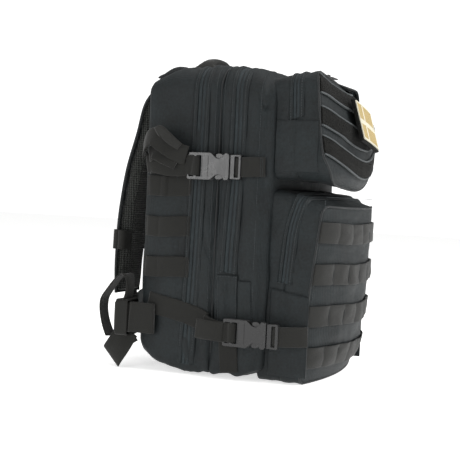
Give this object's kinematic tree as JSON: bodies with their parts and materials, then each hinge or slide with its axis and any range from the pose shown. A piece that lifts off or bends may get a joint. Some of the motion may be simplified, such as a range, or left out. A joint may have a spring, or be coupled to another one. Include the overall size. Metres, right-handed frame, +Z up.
{
  "type": "trauma backpack",
  "caption": "Upright two-compartment soft backpack with front pockets, webbing rows, compression buckles and padded shoulder straps.",
  "frame": {"origin": "middle of the base, on the surface that the pack stands on", "axes": "+Z up, front pockets towards -Y, back panel and shoulder straps towards +Y, the left side as worn at -X"},
  "size_m": [0.303, 0.3209, 0.4083],
  "materials": {
    "pack_fabric": "coated 600-denier weave, near-black with a cool tint",
    "zipper_tape": "woven tape with nylon coil",
    "spacer_mesh": "knitted spacer mesh",
    "frame_board": "polyethylene board",
    "webbing": "flat woven webbing",
    "loop_pile": "brushed loop pile",
    "patch_cloth": "embroidered twill",
    "buckle_plastic": "satin moulded acetal",
    "slider_metal": "black-lacquered zinc"
  },
  "bodies": {
    "root": {"rear_shell": "pack_fabric", "middle_shell": "pack_fabric", "front_shell": "pack_fabric", "lower_pocket_base": "pack_fabric", "upper_pocket_base": "pack_fabric", "grab_handle": "pack_fabric", "hydration_sleeve": "pack_fabric", "main_zipper": "zipper_tape", "second_zipper": "zipper_tape", "pocket_zippers": "zipper_tape", "back_pad": "spacer_mesh", "shoulder_strap_left": "spacer_mesh", "shoulder_strap_right": "spacer_mesh", "frame_sheet": "frame_board", "side_webbing": "webbing", "lower_base_webbing": "webbing", "compression_straps": "webbing", "shoulder_webbing": "webbing", "chest_strap": "webbing", "waist_belt_left": "webbing", "waist_belt_right": "webbing", "hose_flap": "webbing", "lower_loop_strip": "loop_pile", "buckle_plugs": "buckle_plastic", "shoulder_adjusters": "buckle_plastic", "chest_buckle": "buckle_plastic"},
    "upper_socket_left": {"upper_socket_left": "buckle_plastic", "upper_tail_left": "webbing"},
    "upper_prong_top_left": {"upper_prong_top_left": "buckle_plastic"},
    "upper_prong_bottom_left": {"upper_prong_bottom_left": "buckle_plastic"},
    "upper_socket_right": {"upper_socket_right": "buckle_plastic", "upper_tail_right": "webbing"},
    "upper_prong_top_right": {"upper_prong_top_right": "buckle_plastic"},
    "upper_prong_bottom_right": {"upper_prong_bottom_right": "buckle_plastic"},
    "lower_socket_left": {"lower_socket_left": "buckle_plastic", "lower_tail_left": "webbing"},
    "lower_prong_top_left": {"lower_prong_top_left": "buckle_plastic"},
    "lower_prong_bottom_left": {"lower_prong_bottom_left": "buckle_plastic"},
    "lower_socket_right": {"lower_socket_right": "buckle_plastic", "lower_tail_right": "webbing"},
    "lower_prong_top_right": {"lower_prong_top_right": "buckle_plastic"},
    "lower_prong_bottom_right": {"lower_prong_bottom_right": "buckle_plastic"},
    "main_left_slider": {"main_left_slider": "slider_metal"},
    "main_left_pull_tab": {"main_left_pull_tab": "slider_metal"},
    "main_right_slider": {"main_right_slider": "slider_metal"},
    "main_right_pull_tab": {"main_right_pull_tab": "slider_metal"},
    "second_left_slider": {"second_left_slider": "slider_metal"},
    "second_left_pull_tab": {"second_left_pull_tab": "slider_metal"},
    "second_right_slider": {"second_right_slider": "slider_metal"},
    "second_right_pull_tab": {"second_right_pull_tab": "slider_metal"},
    "upper_pocket_slider": {"upper_pocket_slider": "slider_metal"},
    "upper_pocket_pull_tab": {"upper_pocket_pull_tab": "slider_metal"},
    "lower_pocket_slider": {"lower_pocket_slider": "slider_metal"},
    "lower_pocket_pull_tab": {"lower_pocket_pull_tab": "slider_metal"},
    "upper_pocket_cover": {"upper_pocket_cover": "pack_fabric", "upper_loop_strip": "loop_pile", "patch": "patch_cloth"},
    "lower_pocket_cover": {"lower_pocket_cover": "pack_fabric", "lower_cover_webbing": "webbing"}
  },
  "joints": [
    {"name": "upper_socket_left_release", "type": "slide", "parent": "root", "child": "upper_socket_left", "axis": [0, 1, 0], "range_m": [0, 0.026], "deforming": ["upper_prong_top_left", "upper_prong_bottom_left"]},
    {"name": "upper_top_prong_left_press", "type": "hinge", "parent": "root", "child": "upper_prong_top_left", "pos_m": [-0.134, -0.0074, 0.2717], "axis": [-1, 0, 0], "range_deg": [0, 8], "stiffness_Nm_per_rad": 0.02},
    {"name": "upper_bottom_prong_left_press", "type": "hinge", "parent": "root", "child": "upper_prong_bottom_left", "pos_m": [-0.134, -0.0074, 0.2517], "axis": [1, 0, 0], "range_deg": [0, 8], "stiffness_Nm_per_rad": 0.02},
    {"name": "upper_socket_right_release", "type": "slide", "parent": "root", "child": "upper_socket_right", "axis": [0, 1, 0], "range_m": [0, 0.026], "deforming": ["upper_prong_top_right", "upper_prong_bottom_right"]},
    {"name": "upper_top_prong_right_press", "type": "hinge", "parent": "root", "child": "upper_prong_top_right", "pos_m": [0.134, -0.0074, 0.2717], "axis": [-1, 0, 0], "range_deg": [0, 8], "stiffness_Nm_per_rad": 0.02},
    {"name": "upper_bottom_prong_right_press", "type": "hinge", "parent": "root", "child": "upper_prong_bottom_right", "pos_m": [0.134, -0.0074, 0.2517], "axis": [1, 0, 0], "range_deg": [0, 8], "stiffness_Nm_per_rad": 0.02},
    {"name": "lower_socket_left_release", "type": "slide", "parent": "root", "child": "lower_socket_left", "axis": [0, 1, 0], "range_m": [0, 0.026], "deforming": ["lower_prong_top_left", "lower_prong_bottom_left"]},
    {"name": "lower_top_prong_left_press", "type": "hinge", "parent": "root", "child": "lower_prong_top_left", "pos_m": [-0.134, -0.0654, 0.07], "axis": [-1, 0, 0], "range_deg": [0, 8], "stiffness_Nm_per_rad": 0.02},
    {"name": "lower_bottom_prong_left_press", "type": "hinge", "parent": "root", "child": "lower_prong_bottom_left", "pos_m": [-0.134, -0.0654, 0.05], "axis": [1, 0, 0], "range_deg": [0, 8], "stiffness_Nm_per_rad": 0.02},
    {"name": "lower_socket_right_release", "type": "slide", "parent": "root", "child": "lower_socket_right", "axis": [0, 1, 0], "range_m": [0, 0.026], "deforming": ["lower_prong_top_right", "lower_prong_bottom_right"]},
    {"name": "lower_top_prong_right_press", "type": "hinge", "parent": "root", "child": "lower_prong_top_right", "pos_m": [0.134, -0.0654, 0.07], "axis": [-1, 0, 0], "range_deg": [0, 8], "stiffness_Nm_per_rad": 0.02},
    {"name": "lower_bottom_prong_right_press", "type": "hinge", "parent": "root", "child": "lower_prong_bottom_right", "pos_m": [0.134, -0.0654, 0.05], "axis": [1, 0, 0], "range_deg": [0, 8], "stiffness_Nm_per_rad": 0.02},
    {"name": "main_left_zip", "type": "slide", "parent": "root", "child": "main_left_slider", "axis": [-1, 0, 0], "range_m": [0, 0.07]},
    {"name": "main_left_tab_lift", "type": "hinge", "parent": "main_left_slider", "child": "main_left_pull_tab", "pos_m": [-0.0189, 0.038, 0.3901], "axis": [0, 1, 0], "range_deg": [0, 100]},
    {"name": "main_right_zip", "type": "slide", "parent": "root", "child": "main_right_slider", "axis": [1, 0, 0], "range_m": [0, 0.07]},
    {"name": "main_right_tab_lift", "type": "hinge", "parent": "main_right_slider", "child": "main_right_pull_tab", "pos_m": [0.0189, 0.038, 0.3901], "axis": [0, -1, 0], "range_deg": [0, 100]},
    {"name": "second_left_zip", "type": "slide", "parent": "root", "child": "second_left_slider", "axis": [-1, 0, 0], "range_m": [0, 0.07]},
    {"name": "second_left_tab_lift", "type": "hinge", "parent": "second_left_slider", "child": "second_left_pull_tab", "pos_m": [-0.0189, -0.012, 0.3901], "axis": [0, 1, 0], "range_deg": [0, 100]},
    {"name": "second_right_zip", "type": "slide", "parent": "root", "child": "second_right_slider", "axis": [1, 0, 0], "range_m": [0, 0.07]},
    {"name": "second_right_tab_lift", "type": "hinge", "parent": "second_right_slider", "child": "second_right_pull_tab", "pos_m": [0.0189, -0.012, 0.3901], "axis": [0, -1, 0], "range_deg": [0, 100]},
    {"name": "upper_pocket_zip", "type": "slide", "parent": "root", "child": "upper_pocket_slider", "axis": [-1, 0, 0], "range_m": [0, 0.07]},
    {"name": "upper_pocket_tab_lift", "type": "hinge", "parent": "upper_pocket_slider", "child": "upper_pocket_pull_tab", "pos_m": [0.0069, -0.083, 0.3871], "axis": [0, -1, 0], "range_deg": [0, 100]},
    {"name": "lower_pocket_zip", "type": "slide", "parent": "root", "child": "lower_pocket_slider", "axis": [-1, 0, 0], "range_m": [0, 0.07]},
    {"name": "lower_pocket_tab_lift", "type": "hinge", "parent": "lower_pocket_slider", "child": "lower_pocket_pull_tab", "pos_m": [0.0069, -0.084, 0.2341], "axis": [0, -1, 0], "range_deg": [0, 25]},
    {"name": "upper_pocket_open", "type": "hinge", "parent": "root", "child": "upper_pocket_cover", "pos_m": [0, -0.11, 0.285], "axis": [1, 0, 0], "range_deg": [0, 25]},
    {"name": "lower_pocket_open", "type": "hinge", "parent": "root", "child": "lower_pocket_cover", "pos_m": [0, -0.11, 0.108], "axis": [1, 0, 0], "range_deg": [0, 25]}
  ],
  "couplings": [
    {"joint": "upper_bottom_prong_left_press", "follows": "upper_top_prong_left_press", "ratio": 1},
    {"joint": "upper_bottom_prong_right_press", "follows": "upper_top_prong_right_press", "ratio": 1},
    {"joint": "lower_bottom_prong_left_press", "follows": "lower_top_prong_left_press", "ratio": 1},
    {"joint": "lower_bottom_prong_right_press", "follows": "lower_top_prong_right_press", "ratio": 1}
  ]
}
